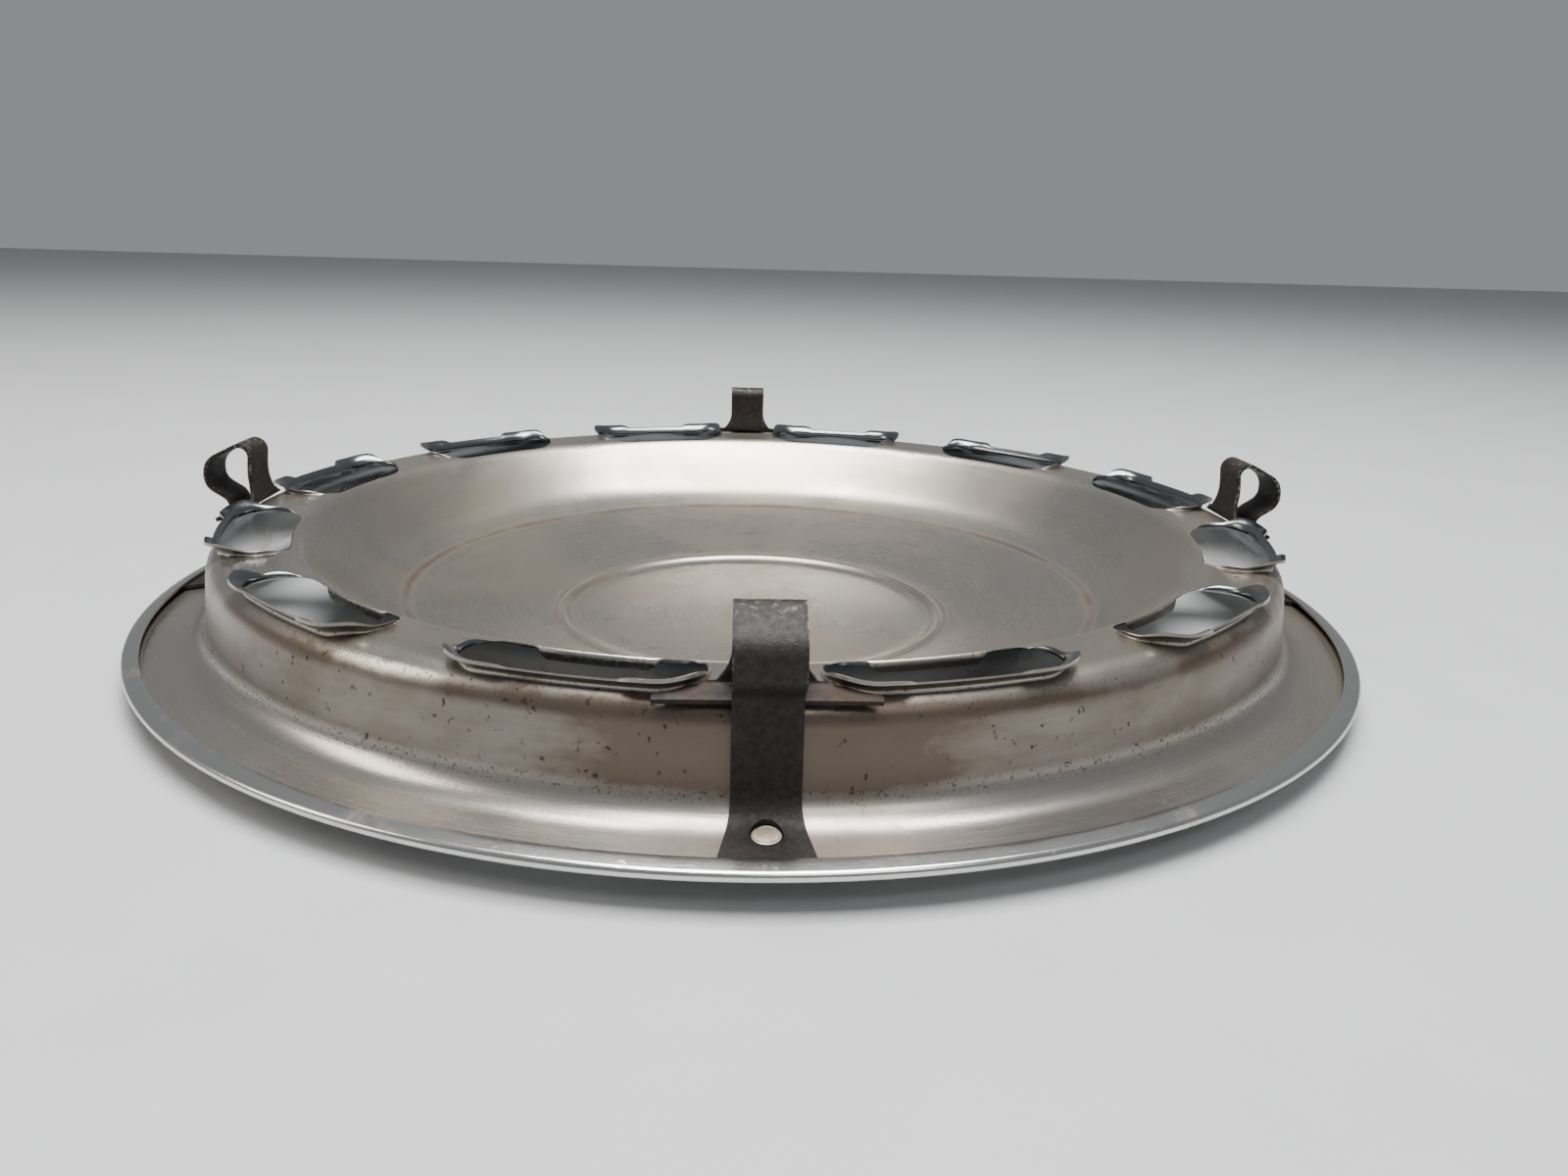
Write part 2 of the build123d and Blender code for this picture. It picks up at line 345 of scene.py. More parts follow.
# %% The front's polish and hairline scratches, and the sheared edge
def sheet_front():
    steel = Recipe("polished_stainless_front", Metallic=1.0)
    spot = steel.place()
    radius, angle, z = steel.round_axle(spot)
    haze = steel.noise(spot, 60.0, detail=5.0, roughness=0.6)
    dents = steel.step(steel.noise(spot, 95.0, detail=2.0), 0.66, 0.74)
    fine = steel.noise(spot, 1400.0, detail=2.0, roughness=0.7)
    scratch_line = steel.vector(angle * 6.0, radius * 300.0, z * 300.0)
    scratch = steel.noise(scratch_line, 4.0, detail=4.0, roughness=0.75)
    marks = steel.step(scratch, 0.62, 0.72) * 0.6
    dust = steel.step(haze, 0.52, 0.72)
    base = steel.mix(colour(0.60, 0.595, 0.58), colour(0.50, 0.48, 0.45), dust)
    base = steel.mix(base, colour(0.74, 0.74, 0.74), marks)
    # Painted shade: the hollow side of the crest and the lips of its slots are painted dark slate grey.
    slot_painted_shade = steel.step(radius, 138.0 * MM, 146.0 * MM) * steel.step(z, 20.0 * MM, 30.0 * MM)
    steel.feed("Base Color", steel.mix(base, colour(0.13, 0.14, 0.15), slot_painted_shade * 0.85))
    steel.feed("Roughness", 0.17 + dust * 0.12 + fine * 0.08 + marks * 0.12)
    struck = steel.bump(dents, -0.12 * MM, 0.3)
    steel.feed("Normal", steel.bump(fine * 0.6 + scratch, 0.04 * MM, 0.4, struck))
    return steel.material


def cut_edge():
    """The sheared edge of the sheet, bright along every lip."""
    steel = Recipe("sheared_stainless_edge", Metallic=1.0)
    grain = steel.noise(steel.place(), 700.0, detail=3.0)
    steel.feed("Base Color", steel.mix(colour(0.62, 0.60, 0.56), colour(0.36, 0.31, 0.25), grain))
    steel.feed("Roughness", 0.26 + grain * 0.14)
    return steel.material


sheet_front_finish = sheet_front()
cut_edge_finish = cut_edge()
print("materials", sheet_front_finish.name, cut_edge_finish.name)

# %% [markdown]
# ## Drawing a bent profile
#
# A press tool leaves straight runs joined by arcs. A profile here is a short list of corners,
# each with the radius of its bend, and `rounded` turns it into points close enough for the
# bends to look round. Long runs are divided as well, so that the sheet has points to move.

# %% Round the corners of a profile
ARC_STEP = radians(11.0)

def rounded(corners, bends, longest):
    """Points along the corners with each inner corner replaced by an arc of its bend radius."""
    path = [Vector(corners[0])]
    for before, corner, after, bend in zip(corners, corners[1:], corners[2:], bends):
        corner = Vector(corner)
        back = (Vector(before) - corner).normalized()
        ahead = (Vector(after) - corner).normalized()
        half = back.angle(ahead) / 2
        centre = corner + (back + ahead).normalized() * (bend / sin(half))
        start = corner + back * (bend / tan(half))
        spoke = start - centre
        turn = pi - 2 * half
        if back.cross(ahead) > 0:
            turn = -turn
        steps = max(2, round(abs(turn) / ARC_STEP))
        for i in range(steps + 1):
            a = turn * i / steps
            arm = Vector((spoke.x * cos(a) - spoke.y * sin(a), spoke.x * sin(a) + spoke.y * cos(a)))
            path.append(centre + arm)
    path.append(Vector(corners[-1]))
    dense = [path[0]]
    for point in path[1:]:
        gap = (point - dense[-1]).length
        parts = max(1, round(gap / longest))
        start = dense[-1]
        dense += [start.lerp(point, (i + 1) / parts) for i in range(parts)]
    return dense


# The inside surface of the sheet, from the axle to the lip of the rolled rim, in millimetres.
FACE_Z = -7.4
FACE_FLAT_R = 60.0
FACE_CREASE_Z = 3.8
FLANGE_FALL = 0.13
WALL_FOOT = (172.7, 1.95)
HEM_IN_R = 1.2
HEM_R = COVER_R - SHEET_MM - HEM_IN_R
FLANGE_END_Z = WALL_FOOT[1] - FLANGE_FALL * (HEM_R - WALL_FOOT[0])
dish_corners = [
    (0.0, FACE_Z), (FACE_FLAT_R, FACE_Z), (FACE_CREASE_MM, FACE_CREASE_Z), (127.0, 8.4), (146.6, 28.2),
    (170.2, 28.2), WALL_FOOT, (HEM_R, FLANGE_END_Z),
]
DISH_BENDS = [20.0, 5.0, 22.0, 8.0, 7.0, 9.0]
dish_path = rounded(dish_corners, DISH_BENDS, longest=6.0)
HEM_STEPS = 18
GROOVE_AT, GROOVE_HALF, GROOVE_DEPTH = 30.0, 10.0, 0.28
hem_centre_z = FLANGE_END_Z + HEM_IN_R


def hem_point(turn):
    """A point of the rolled rim, which has a fine groove round its outer side."""
    dip = max(0.0, 1.0 - abs(turn - GROOVE_AT) / GROOVE_HALF) * GROOVE_DEPTH
    arm = HEM_IN_R - dip
    return Vector((HEM_R + arm * cos(radians(turn)), hem_centre_z + arm * sin(radians(turn))))


hem_path = [hem_point(-90 + 180 / HEM_STEPS * i) for i in range(1, HEM_STEPS + 1)]
lip_end = Vector((HEM_LIP_MM, hem_centre_z + HEM_IN_R))
profile = dish_path + hem_path + [hem_path[-1].lerp(lip_end, 0.5), lip_end]
print("profile points", len(profile))

# %% [markdown]
# ## The vent slots
#
# Twelve slots are cut in the crest. The sheet is not just cut: along the outer side it is turned
# up and folded outwards over the shoulder, with a longer tab at each end, and along the inner
# side a narrow flange is turned down. A Boolean cut would leave a sharp hole with no bend in
# the metal. So one twelfth of the crest is made as a ring of faces around its slot: the outer
# edge of the ring is the border of the sector, the inner edge is the slot, and more loops carry
# on from there up and over the lip. Each loop starts as a row of a flat grid, and every point
# of the grid is then set in its place by its distance along the slot's edge.

# %% Measure along the profile, and along a slot's edge
SLOT_R = 157.0
SLOT_HALF_WIDTH = 10.5
SLOT_STRAIGHT = 18.5
SECTOR_STEPS = 34
SIDE_STEPS = 14
CREST_INNER = -16.0
CREST_OUTER = 17.5
SECTOR_HALF = SLOT_R * radians(180 / SLOT_COUNT)

lengths = [0.0]
for one, two in zip(profile, profile[1:]):
    lengths.append(lengths[-1] + (two - one).length)
crest_start = next(i for i, p in enumerate(profile) if p.x > SLOT_R)
share = (SLOT_R - profile[crest_start - 1].x) / (profile[crest_start].x - profile[crest_start - 1].x)
SLOT_LENGTH = lengths[crest_start - 1] + share * (lengths[crest_start] - lengths[crest_start - 1])


def along_profile(distance):
    """The profile's radius and height at a distance from the middle line of the slots."""
    want = SLOT_LENGTH + distance
    i = next(i for i, length in enumerate(lengths) if length >= want)
    part = (want - lengths[i - 1]) / (lengths[i] - lengths[i - 1])
    return profile[i - 1].lerp(profile[i], part)


def slot_edge(share):
    """Point and outward direction on the slot's edge, a share of the way round from its outer middle."""
    straight = SLOT_STRAIGHT
    arc = pi * SLOT_HALF_WIDTH
    way = (share % 1.0) * (4 * straight + 2 * arc)
    if way <= straight:
        return Vector((way, SLOT_HALF_WIDTH)), Vector((0, 1))
    if way <= straight + arc:
        turn = pi / 2 - (way - straight) / SLOT_HALF_WIDTH
        out = Vector((cos(turn), sin(turn)))
        return Vector((straight, 0)) + out * SLOT_HALF_WIDTH, out
    if way <= 3 * straight + arc:
        return Vector((2 * straight + arc - way, -SLOT_HALF_WIDTH)), Vector((0, -1))
    if way <= 3 * straight + 2 * arc:
        turn = -pi / 2 - (way - 3 * straight - arc) / SLOT_HALF_WIDTH
        out = Vector((cos(turn), sin(turn)))
        return Vector((-straight, 0)) + out * SLOT_HALF_WIDTH, out
    return Vector((way - 4 * straight - 2 * arc, SLOT_HALF_WIDTH)), Vector((0, 1))


def sector_border():
    """Points round the sector's border, clockwise from the middle of its outer side, with their shares."""
    outer = [Vector((SECTOR_HALF * (2 * i / SECTOR_STEPS - 1), CREST_OUTER)) for i in range(SECTOR_STEPS)]
    inner = [Vector((-p.x, CREST_INNER)) for p in outer]
    drop = CREST_OUTER - CREST_INNER
    right = [Vector((SECTOR_HALF, CREST_OUTER - drop * i / SIDE_STEPS)) for i in range(SIDE_STEPS)]
    left = [Vector((-SECTOR_HALF, CREST_INNER + drop * i / SIDE_STEPS)) for i in range(SIDE_STEPS)]
    loop = outer + right + inner + left
    half = SECTOR_STEPS // 2
    loop = loop[half:] + loop[:half]
    total = 4 * SECTOR_HALF + 2 * drop
    shares = [0.0]
    for a, b in zip(loop, loop[1:]):
        shares.append(shares[-1] + (b - a).length / total)
    return loop, shares


border, border_shares = sector_border()
print("points round a slot", len(border), "sector half width", round(SECTOR_HALF, 1))

# %% The lip's section at any place round the slot
MID_HALF = 13.0
TAB_RAMP = 1.2
DROP_HALF = 14.0
DROP_RAMP = 2.5
LIP_LOOPS = 9
MID_EDGE = [(0.0, 0.0), (-0.9, 0.0), (-0.6, 2.1), (1.1, 2.6)]
TAB_EDGE = [(0.0, 0.0), (-0.9, 0.0), (-0.7, 2.7), (3.0, 3.4)]
END_EDGE = [(0.0, 0.0), (-0.8, 0.0), (-0.5, 1.1), (0.1, 1.4)]
FLAT_EDGE = [(0.0, 0.0), (-0.2, 0.0), (-0.4, 0.0), (-0.6, 0.0)]
DROP_EDGE = [(0.0, 0.0), (-1.0, 0.0), (-1.0, -0.9), (-1.0, -2.8)]


def smooth(value, low, high):
    part = min(1.0, max(0.0, (value - low) / (high - low)))
    return part * part * (3 - 2 * part)


def blend_rows(first, second, part):
    return [(a + (c - a) * part, b + (d - b) * part) for (a, b), (c, d) in zip(first, second)]


def along_curve(hooks):
    """Offsets outwards and upwards at even steps along the curve that four points pull."""
    steps = [(j + 1) / LIP_LOOPS for j in range(LIP_LOOPS)]
    pulls = [((1 - t) ** 3, 3 * t * (1 - t) ** 2, 3 * t * t * (1 - t), t ** 3) for t in steps]
    return [tuple(sum(w * h[axis] for w, h in zip(pull, hooks)) for axis in (0, 1)) for pull in pulls]


def lip_section(point, out):
    """Offsets outwards and upwards for the loops of the lip beside one point of the slot's edge."""
    swing = degrees(atan2(abs(out.x), out.y))
    tab = smooth(abs(point.x), MID_HALF - TAB_RAMP, MID_HALF + TAB_RAMP)
    hooks = blend_rows(MID_EDGE, TAB_EDGE, tab)
    hooks = blend_rows(hooks, END_EDGE, smooth(swing, 40, 80))
    hooks = blend_rows(hooks, FLAT_EDGE, smooth(swing, 95, 140))
    inner = smooth(swing, 140, 178) * smooth(abs(point.x), DROP_HALF + DROP_RAMP, DROP_HALF - 0.5)
    return along_curve(blend_rows(hooks, DROP_EDGE, inner))


# %% Make one sector of the crest
FIELD_LOOPS = 7

def wrapped(across, up_profile, lift=0.0, out=None, reach=0.0):
    """A point of the unrolled sector, in its place on the crest, in metres."""
    spot = along_profile(up_profile)
    turn = -across / SLOT_R
    place = Vector((spot.x * cos(turn), spot.x * sin(turn), RIM_Z + spot.y + lift))
    if out is not None:
        radial = Vector((cos(turn), sin(turn), 0))
        tangent = Vector((sin(turn), -cos(turn), 0))
        place += (radial * out.y + tangent * out.x) * reach
    return place * MM


def sector_point(column, row):
    """The grid's rows run from the sector's border in to the slot's edge and on over its lip."""
    target = border[column]
    edge, out = slot_edge(border_shares[column])
    if row <= FIELD_LOOPS:
        near = (1 - row / FIELD_LOOPS) ** 1.25
        spot = edge.lerp(target, near)
        return wrapped(spot.x, spot.y)
    reach, lift = lip_section(edge, out)[row - FIELD_LOOPS - 1]
    return wrapped(edge.x, edge.y, lift, out, reach)


def deselect():
    if bpy.context.object and bpy.context.object.mode != "OBJECT":
        bpy.ops.object.mode_set(mode="OBJECT")
    bpy.ops.object.select_all(action="DESELECT")


def make_grid(name, columns, rows, place, closed=False):
    """A grid primitive whose points are then set by place(column, row); closed joins its ends."""
    deselect()
    count = columns + 1 if closed else columns
    bpy.ops.mesh.primitive_grid_add(x_subdivisions=count - 1, y_subdivisions=rows - 1, size=1)
    made = bpy.context.object
    made.name = name
    for vertex in made.data.vertices:
        column = round((vertex.co.x + 0.5) * (count - 1))
        row = round((vertex.co.y + 0.5) * (rows - 1))
        vertex.co = place(column % columns, row)
    if closed:
        merge(made)
    return made


def merge(piece, distance=0.02 * MM):
    deselect()
    bpy.context.view_layer.objects.active = piece
    piece.select_set(True)
    bpy.ops.object.mode_set(mode="EDIT")
    bpy.ops.mesh.select_all(action="SELECT")
    bpy.ops.mesh.remove_doubles(threshold=distance)
    bpy.ops.mesh.normals_make_consistent(inside=False)
    bpy.ops.object.mode_set(mode="OBJECT")


sector = make_grid("cover_disc", len(border), FIELD_LOOPS + LIP_LOOPS + 1, sector_point, closed=True)
print("sector faces", len(sector.data.polygons))

# %% [markdown]
# ## The disc
#
# The rest of the sheet is the same all the way round, so it is spun: the profile is drawn as a
# row of edges and the Spin tool sweeps it round the axle in as many steps as the sectors have
# points along their borders. The points then meet and can be merged. The twelve sectors are
# copies of the first, turned into their places.

# %% Turn the sector into a ring
def turned(piece, angle, name):
    """A copy of a piece with its own mesh, turned about the axle."""
    other = bpy.data.objects.new(name, piece.data.copy())
    bpy.context.scene.collection.objects.link(other)
    other.data.transform(Matrix.Rotation(angle, 4, "Z"))
    return other


ring = [turned(sector, radians(15 + 30 * i), f"crest_{i}") for i in range(1, SLOT_COUNT)]
sector.data.transform(Matrix.Rotation(radians(15), 4, "Z"))

# %% Spin the face, and the wall with its flange and rolled rim
SPIN_STEPS = SLOT_COUNT * SECTOR_STEPS

def spun(name, points):
    """Sweep a row of edges, given as radius and height in millimetres, round the axle."""
    mesh = bpy.data.meshes.new(name)
    verts = [(p.x * MM, 0.0, (RIM_Z + p.y) * MM) for p in points]
    mesh.from_pydata(verts, [(i, i + 1) for i in range(len(verts) - 1)], [])
    band = bpy.data.objects.new(name, mesh)
    bpy.context.scene.collection.objects.link(band)
    deselect()
    bpy.context.view_layer.objects.active = band
    band.select_set(True)
    bpy.ops.object.mode_set(mode="EDIT")
    bpy.ops.mesh.select_all(action="SELECT")
    bpy.ops.mesh.spin(steps=SPIN_STEPS, angle=2 * pi, center=(0, 0, 0), axis=(0, 0, 1))
    bpy.ops.object.mode_set(mode="OBJECT")
    merge(band)
    return band


JOIN_GAP = 0.4
inner_end = SLOT_LENGTH + CREST_INNER
outer_start = SLOT_LENGTH + CREST_OUTER
BEAD_HALF = 2.2
BEAD_RISE = 0.9
BEAD_STEPS = 4


def with_bead(points):
    """Add the shallow pressed bead that runs round the middle of the face."""
    plain = [p for p in points if abs(p.x - BEAD_MM) > BEAD_HALF + 0.5]
    foot = min(points, key=lambda p: abs(p.x - BEAD_MM))
    tilt = (FACE_CREASE_Z - FACE_Z) / (FACE_CREASE_MM - FACE_FLAT_R)
    bump = []
    for i in range(-BEAD_STEPS, BEAD_STEPS + 1):
        way = i / BEAD_STEPS
        radius = BEAD_MM + BEAD_HALF * way
        rise = BEAD_RISE * cos(way * pi / 2) ** 2
        bump.append(Vector((radius, foot.y + tilt * (radius - foot.x) + rise)))
    return sorted(plain + bump, key=lambda p: p.x)


face_points = with_bead([p for p, s in zip(profile, lengths) if s < inner_end - JOIN_GAP])
face_points.append(along_profile(CREST_INNER))
rim_points = [p for p, s in zip(profile, lengths) if s > outer_start + JOIN_GAP]
rim_points.insert(0, along_profile(CREST_OUTER))
face = spun("face", face_points)
rim = spun("rim", rim_points)

# %% Join and merge the sheet, and give it its thickness
deselect()
for part in (*ring, face, rim, sector):
    part.select_set(True)
bpy.context.view_layer.objects.active = sector
bpy.ops.object.join()
disc = bpy.context.object
merge(disc, 0.05 * MM)


def flip_if_down(piece):
    """On an open sheet the tool can't tell inside from outside, so the middle of the face decides."""
    middle = min(piece.data.polygons, key=lambda f: hypot(f.center.x, f.center.y))
    if middle.normal.z < 0:
        piece.data.flip_normals()


flip_if_down(disc)
disc.data.materials.append(sheet_back_finish)
disc.data.materials.append(sheet_front_finish)
disc.data.materials.append(cut_edge_finish)


def apply_modifier(piece, kind, **settings):
    deselect()
    bpy.context.view_layer.objects.active = piece
    piece.select_set(True)
    modifier = piece.modifiers.new(kind.lower(), kind)
    for key, value in settings.items():
        setattr(modifier, key, value)
    bpy.ops.object.modifier_apply(modifier=modifier.name)


apply_modifier(disc, "SOLIDIFY", thickness=SHEET_MM * MM, offset=-1.0, use_even_offset=True,
               material_offset=1, material_offset_rim=2, thickness_clamp=1.2)
SMOOTH_ANGLE = radians(38)


def smooth_shading(piece, angle=SMOOTH_ANGLE):
    deselect()
    bpy.context.view_layer.objects.active = piece
    piece.select_set(True)
    bpy.ops.object.shade_smooth_by_angle(angle=angle)


smooth_shading(disc)
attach(disc, "disc")
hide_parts("cover")
triangles = sum(len(f.vertices) - 2 for f in disc.data.polygons)
print("disc triangles", triangles)

# %% [markdown]
# ## The spring clips
#
# Each clip is one strip of spring steel: a foot that widens towards the rim, a strap up the
# wall, an outward bulge that grips the wheel, a tight bend at the top and a leg that comes back
# down and spreads into two wings under the tabs of the vents. The strip is a grid again: its
# rows follow the bent path and its columns are spread by the width at that place. Solidify
# gives it its thickness, a small bevel rounds the sheared edges, and a Boolean punches the hole.

# %% Dark phosphated spring steel with worn edges
def spring_finish():
    steel = Recipe("phosphated_spring_steel", Specular_IOR_Level=0.3)
    spot = steel.place()
    side = steel.from_clip_line(spot)
    z = steel.numbers(spot)[2]
    coarse = steel.noise(spot, 55.0, detail=5.0, roughness=0.6)
    grain = steel.noise(spot, 650.0, detail=4.0, roughness=0.7)
    pits = steel.noise(spot, 1500.0, detail=2.0, roughness=0.6)
    edge = steel.ridge(side, STRAP_HALF, 0.45 * MM) * steel.step(grain + coarse * 0.5, 0.76, 0.94)
    edge = edge * steel.step(z, (RIM_Z + 30.0) * MM, (RIM_Z + 34.0) * MM)
    top = steel.step(z, (RIM_Z + 46.0) * MM, (RIM_Z + 49.4) * MM) * steel.step(grain, 0.54, 0.68)
    wing = steel.step(side, 8.5 * MM, 13.0 * MM) * steel.step(z, 32.0 * MM, 34.0 * MM)
    rust = wing * steel.step(coarse, 0.38, 0.62)
    rust = rust + steel.step(coarse, 0.58, 0.72) * 0.35
    worn = (edge * 0.5 + top * 0.35).maths("MINIMUM", 1.0)
    mottle = steel.step(grain, 0.32, 0.70)
    base = steel.mix(colour(0.007, 0.0055, 0.005), colour(0.021, 0.017, 0.015), mottle)
    base = steel.mix(base, colour(0.042, 0.024, 0.014), rust.maths("MINIMUM", 1.0) * 0.6)
    steel.feed("Base Color", steel.mix(base, colour(0.30, 0.28, 0.25), worn))
    steel.feed("Metallic", 0.20 + worn * 0.6)
    steel.feed("Roughness", 0.66 - grain * 0.22 - worn * 0.12 + rust * 0.12)
    steel.feed("Normal", steel.bump(grain * 0.6 + pits * 0.5, 0.22 * MM, 0.9))
    return steel.material


spring_steel = spring_finish()

# %% The clip's path and its width along it
CLIP_T = 1.2
FOOT_END_R = 190.2
FOOT_HALF_END = 10.5
FOOT_FLARE_R = 174.5
FOOT_TOP_Z = 12.0
FOOT_BEND_R = 173.6
LEG_FLARE = 3.3
LEG_FLARE_TOP_Z = 37.5
LEG_FLARE_FOOT_Z = 30.1
LEG_FLARE_POWER = 2.2
WING_EDGE_R = 171.0
WING_HALF = 24.0
FOOT_LIFT = 0.4 + CLIP_T / 2


def flange_height(radius):
    return WALL_FOOT[1] - FLANGE_FALL * (radius - WALL_FOOT[0])


strap_corners = [
    (FOOT_END_R, flange_height(FOOT_END_R) + FOOT_LIFT),
    (FOOT_BEND_R, flange_height(FOOT_BEND_R) + FOOT_LIFT),
    (172.7, 30.4), (180.2, 35.2), (179.8, 43.2), (164.6, 51.0),
    (166.0, 38.5), (164.6, 29.4), (WING_EDGE_R, 27.7),
]
STRAP_BENDS = [8.0, 4.0, 5.0, 6.5, 3.4, 20.0, 1.6]
strap_path = rounded(strap_corners, STRAP_BENDS, longest=1.5)
SLOT_END = (SLOT_R * cos(radians(8.25)), SLOT_R * sin(radians(8.25)))
WING_HOLLOW_R = SLOT_HALF_WIDTH + 2.3


def clip_half_width(index):
    """Half the strip's width at a point of its path."""
    spot = strap_path[index]
    if index < len(strap_path) // 3 and spot.y < FOOT_TOP_Z:
        part = max(0.0, (spot.x - FOOT_FLARE_R) / (FOOT_END_R - FOOT_FLARE_R))
        return STRAP_HALF_MM + (FOOT_HALF_END - STRAP_HALF_MM) * part
    if index > len(strap_path) // 2 and spot.y < LEG_FLARE_TOP_Z:
        drop = (LEG_FLARE_TOP_Z - spot.y) / (LEG_FLARE_TOP_Z - LEG_FLARE_FOOT_Z)
        flare = STRAP_HALF_MM + LEG_FLARE * min(1.0, drop) ** LEG_FLARE_POWER
        off = spot.x - SLOT_END[0]
        if off < WING_HOLLOW_R:
            hollow = SLOT_END[1] - (WING_HOLLOW_R ** 2 - off ** 2) ** 0.5
        else:
            hollow = WING_HALF
        if spot.y > LEG_FLARE_FOOT_Z:
            return flare
        return min(WING_HALF, hollow)
    return STRAP_HALF_MM


CLIP_COLUMNS = 13

def clip_point(column, row):
    spot = strap_path[row]
    side = (2 * column / (CLIP_COLUMNS - 1) - 1) * clip_half_width(row)
    return Vector((spot.x, side, RIM_Z + spot.y)) * MM


clip_pattern = make_grid("clip_pattern", CLIP_COLUMNS, len(strap_path), clip_point)
clip_pattern.data.materials.append(spring_steel)
apply_modifier(clip_pattern, "SOLIDIFY", thickness=CLIP_T * MM, offset=0.0, use_even_offset=True)

# %% Punch the hole and soften the sheared edges
STUD_AT_R = 180.2
STUD_HOLE_R = 3.5
deselect()
bpy.ops.mesh.primitive_cylinder_add(
    vertices=48, radius=STUD_HOLE_R * MM, depth=6 * MM,
    location=(STUD_AT_R * MM, 0, (RIM_Z + flange_height(STUD_AT_R) + 1.0) * MM),
)
punch = bpy.context.object
apply_modifier(clip_pattern, "BOOLEAN", object=punch, operation="DIFFERENCE", solver="EXACT")
bpy.data.objects.remove(punch)
apply_modifier(clip_pattern, "BEVEL", width=0.22 * MM, segments=2, limit_method="ANGLE",
               angle_limit=radians(50), use_clamp_overlap=True)
smooth_shading(clip_pattern)
CLIP_TURNS = {"right": 0, "back": 90, "left": 180, "front": 270}
for place, angle in CLIP_TURNS.items():
    clip = turned(clip_pattern, radians(angle), f"spring_clip_{place}")
    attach(clip, f"{place}_clip")
    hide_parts(f"clip_{place}")
bpy.data.objects.remove(clip_pattern)
print("clips made, path points", len(strap_path))

# %% [markdown]
# ## The studs
#
# A short round stud stands in the hole of each foot. It starts as a cylinder whose top edge is
# bevelled, with an inset ring pressed in slightly, as a struck stud has.

# %% Spotted bare steel, and the four studs
def stud_finish():
    steel = Recipe("spotted_stud_steel", Metallic=0.85)
    spot = steel.place()
    blot = steel.noise(spot, 380.0, detail=5.0, roughness=0.6)
    fine = steel.noise(spot, 1600.0, detail=3.0)
    brown = steel.step(blot, 0.42, 0.66)
    base = steel.mix(colour(0.66, 0.61, 0.54), colour(0.40, 0.30, 0.21), brown)
    steel.feed("Base Color", base)
    steel.feed("Roughness", 0.38 + brown * 0.25 + fine * 0.08)
    steel.feed("Normal", steel.bump(fine + blot, 0.08 * MM, 0.5))
    return steel.material


stud_steel = stud_finish()
STUD_R = 3.0
STUD_TALL = 1.85
STUD_SEAT = 0.15
STUD_ROUNDING = 0.35
STUD_EDGE = 0.5
STUD_HOLLOW = 0.06
deselect()
tilt = atan2(FLANGE_FALL, 1.0)
stud_base = Vector((STUD_AT_R, 0, RIM_Z + flange_height(STUD_AT_R) - STUD_SEAT))
stud_middle = stud_base + Vector((sin(tilt), 0, cos(tilt))) * STUD_TALL / 2
bpy.ops.mesh.primitive_cylinder_add(
    vertices=48, radius=STUD_R * MM, depth=STUD_TALL * MM,
    location=stud_middle * MM, rotation=(0, tilt, 0),
)
stud_pattern = bpy.context.object
bpy.ops.object.transform_apply(location=True, rotation=True, scale=True)
bpy.ops.object.mode_set(mode="EDIT")
bpy.ops.mesh.select_mode(type="FACE")
bpy.ops.mesh.select_all(action="DESELECT")
bpy.ops.object.mode_set(mode="OBJECT")
for cap in stud_pattern.data.polygons:
    cap.select = cap.normal.z > 0.9 and len(cap.vertices) > 4
bpy.ops.object.mode_set(mode="EDIT")
bpy.ops.mesh.bevel(offset=STUD_ROUNDING * MM, segments=3, affect="EDGES")
bpy.ops.mesh.inset(thickness=STUD_EDGE * MM, depth=-STUD_HOLLOW * MM)
bpy.ops.object.mode_set(mode="OBJECT")
stud_pattern.data.materials.append(stud_steel)
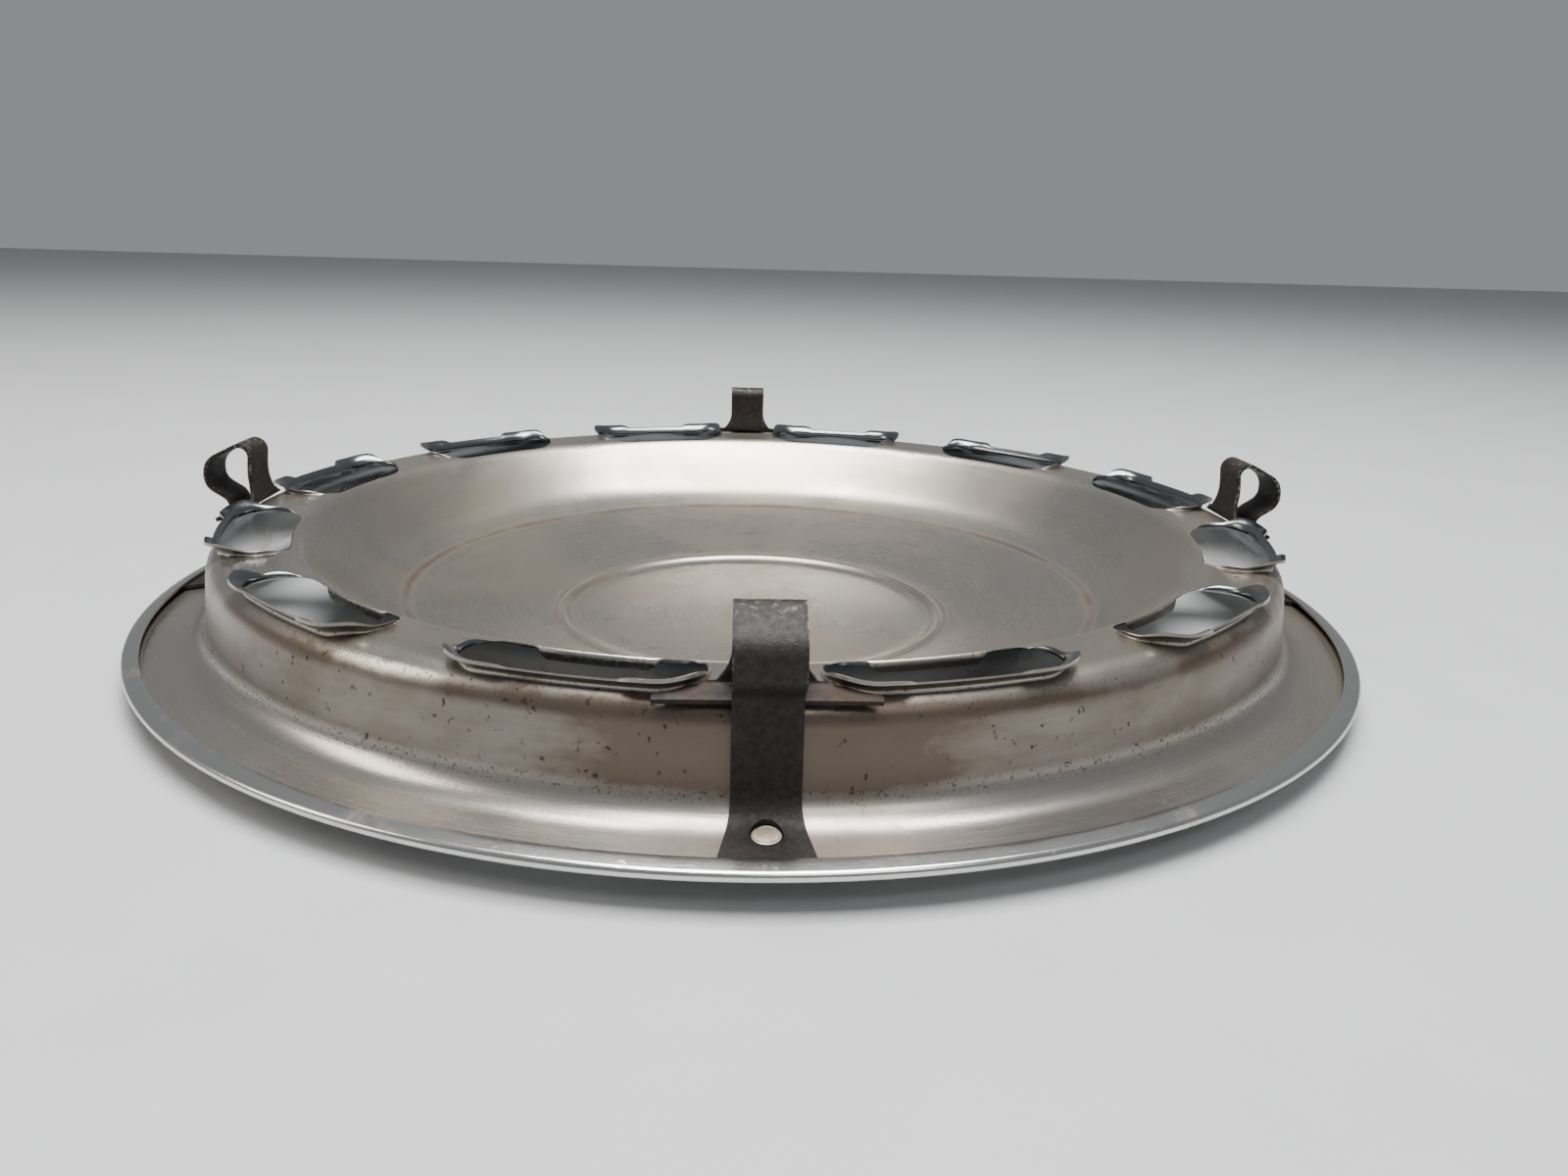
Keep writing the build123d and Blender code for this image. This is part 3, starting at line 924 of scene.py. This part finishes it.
smooth_shading(stud_pattern)
for place, angle in CLIP_TURNS.items():
    stud = turned(stud_pattern, radians(angle), f"foot_stud_{place}")
    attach(stud, "disc")
    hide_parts(f"stud_{place}")
bpy.data.objects.remove(stud_pattern)

# %% [markdown]
# ## Floor and light
#
# A plain pale floor and soft light from above. A satin metal shows what stands around it, so a
# bright panel overhead draws the long highlights on the shoulder and on the foot of the wall,
# and a darker surround keeps the upright wall from turning white.

# %% Floor
def floor_finish():
    paint = Recipe("pale_floor")
    grain = paint.noise(paint.place(), 30.0, detail=4.0)
    shade = paint.mix(colour(0.41, 0.415, 0.42), colour(0.44, 0.445, 0.45), grain)
    paint.feed("Base Color", shade)
    paint.feed("Roughness", 0.55 + grain * 0.1)
    return paint.material


deselect()
bpy.ops.mesh.primitive_plane_add(size=8.0, location=(0, 0, 0))
floor = bpy.context.object
floor.name = "floor"
floor.data.materials.append(floor_finish())

# %% Lights
def panel(name, place, target, size, power, tint=(1.0, 1.0, 1.0)):
    light = bpy.data.lights.new(name, "AREA")
    light.shape = "RECTANGLE"
    light.size, light.size_y = size
    light.energy = power
    light.color = tint
    lamp = bpy.data.objects.new(name, light)
    bpy.context.scene.collection.objects.link(lamp)
    lamp.location = place
    lamp.rotation_euler = (Vector(target) - Vector(place)).to_track_quat("-Z", "Y").to_euler()
    return lamp


panel("ceiling_panel", (0.05, 0.16, 1.5), (0, 0, 0), (1.1, 0.60), 42.0)
panel("near_panel", (0.0, -0.42, 1.4), (0, -0.15, 0), (0.75, 0.50), 28.0)
panel("window_left", (-1.4, -0.25, 0.9), (0, 0, 0), (0.5, 0.8), 8.0, (1.0, 0.94, 0.86))
panel("fill_front", (0.5, -1.4, 1.5), (0, 0, 0), (0.9, 0.4), 7.0)
world = bpy.data.worlds.new("surround")
bpy.context.scene.world = world
world.use_nodes = True
world.node_tree.nodes["Background"].inputs["Color"].default_value = colour(0.80, 0.82, 0.85)
world.node_tree.nodes["Background"].inputs["Strength"].default_value = 0.33
